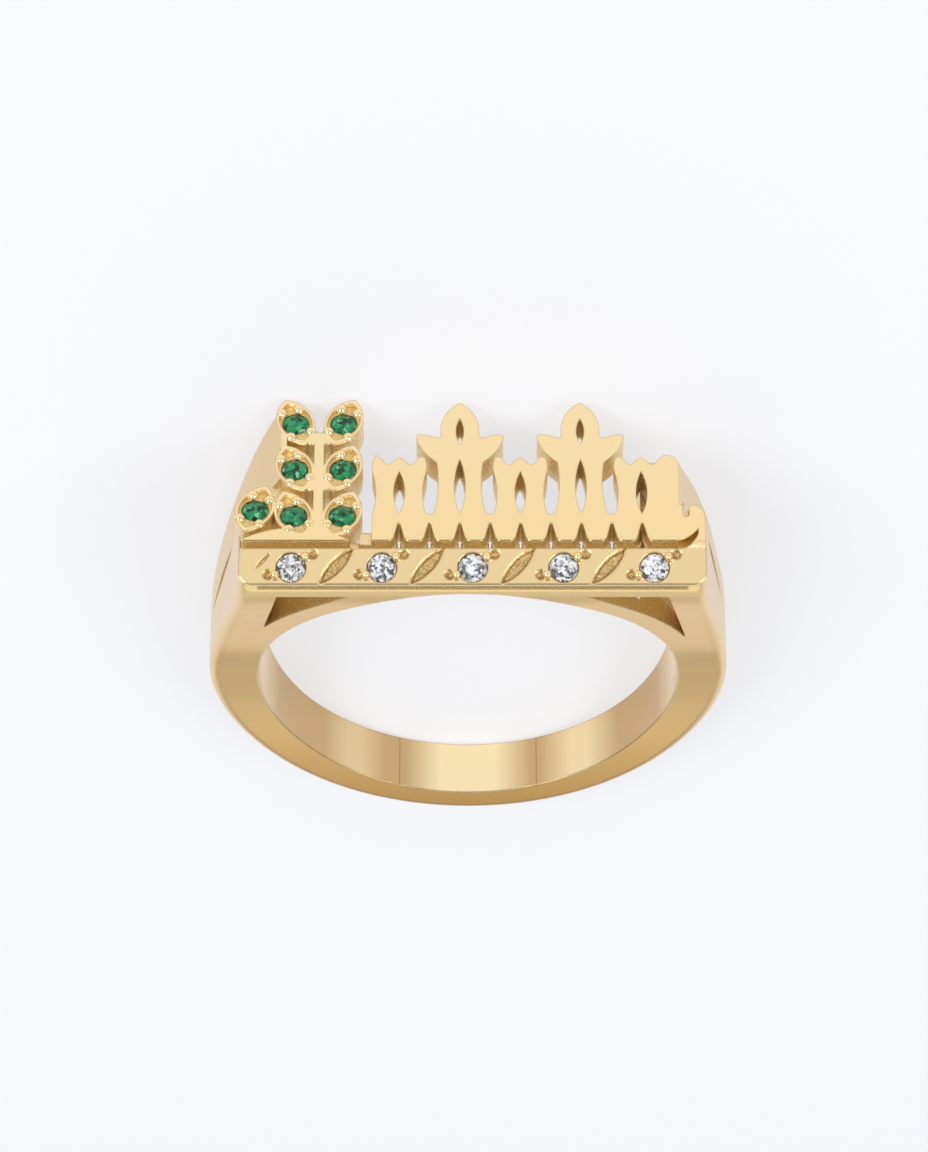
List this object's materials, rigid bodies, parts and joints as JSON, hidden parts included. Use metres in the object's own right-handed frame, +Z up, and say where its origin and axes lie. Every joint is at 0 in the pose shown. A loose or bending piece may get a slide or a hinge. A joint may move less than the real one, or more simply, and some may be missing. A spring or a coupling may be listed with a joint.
{
  "type": "name ring",
  "caption": "Gold ring with a straight stone-set bar across the front and a pierced ornament of a gem-set leaf sprig and flower motifs standing behind it.",
  "frame": {"origin": "Middle of the resting ring's footprint, on the floor", "axes": "+Z up from the floor, -Y from the bottom of the band towards the head, X along the bar. The ring lies on its back side and the bar's front faces up."},
  "size_m": [0.0214, 0.0208, 0.0089],
  "materials": {
    "gold": "polished yellow gold",
    "green_gem": "faceted green stone",
    "clear_gem": "faceted colourless stone"
  },
  "bodies": {
    "root": {"ring_metal": "gold", "green_stone_1": "green_gem", "green_stone_2": "green_gem", "green_stone_3": "green_gem", "green_stone_4": "green_gem", "green_stone_5": "green_gem", "green_stone_6": "green_gem", "green_stone_7": "green_gem", "white_stone_1": "clear_gem", "white_stone_2": "clear_gem", "white_stone_3": "clear_gem", "white_stone_4": "clear_gem", "white_stone_5": "clear_gem"}
  },
  "joints": []
}
